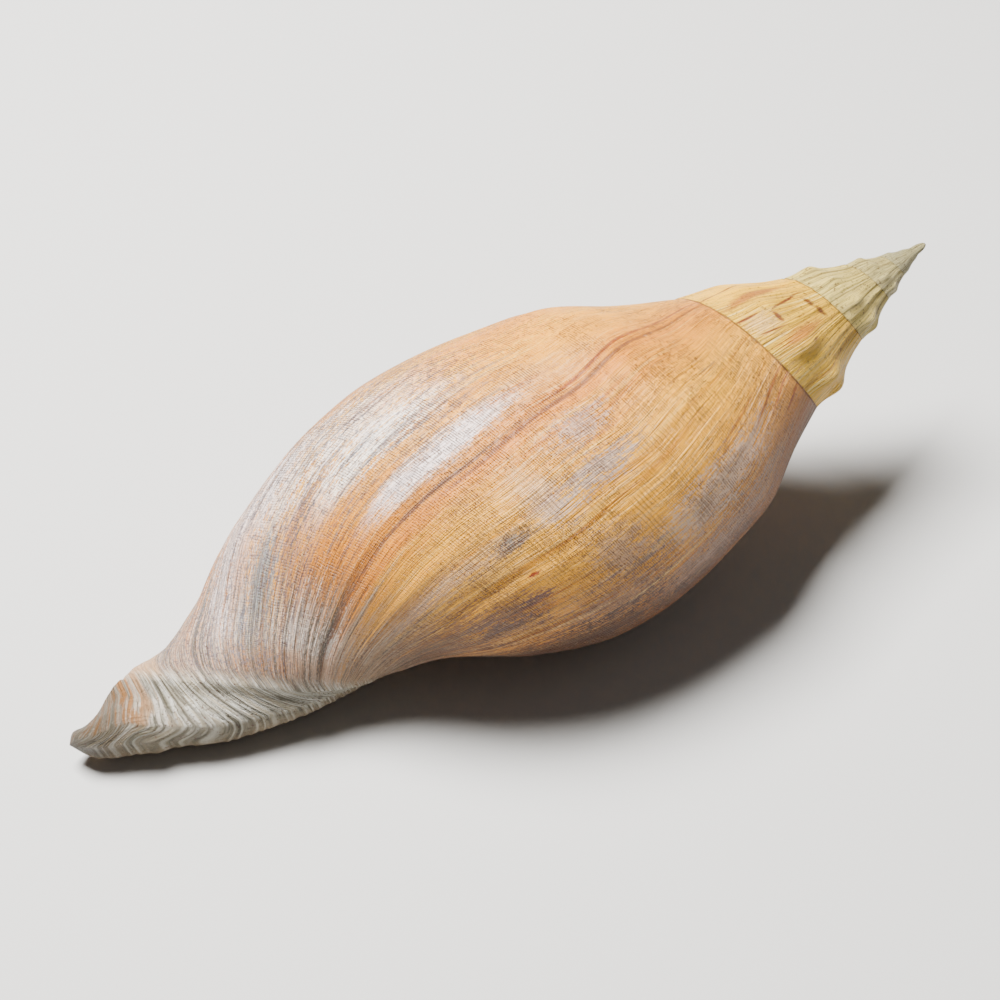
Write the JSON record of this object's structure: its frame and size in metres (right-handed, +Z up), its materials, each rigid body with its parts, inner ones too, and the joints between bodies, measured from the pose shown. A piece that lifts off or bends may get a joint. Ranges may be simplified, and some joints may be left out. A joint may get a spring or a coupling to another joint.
{
  "type": "volute shell",
  "caption": "Large spindle-shaped, right-handed volute shell with a knobbed spire, a swollen last whorl, a long open mouth and a bent canal, lying on its mouth.",
  "frame": {"origin": "middle of the underside of the box, on the surface that the shell rests on", "axes": "+X along the length toward the point of the spire, the canal toward -X, +Y toward the side of the outer lip, +Z up, away from the surface under the mouth"},
  "size_m": [0.372, 0.1438, 0.1182],
  "materials": {
    "shell": "natural shell: worn satin porcelain, ochre and tan with brown, mauve, grey and cream growth streaks"
  },
  "bodies": {
    "root": {"shell": "shell"}
  },
  "joints": []
}
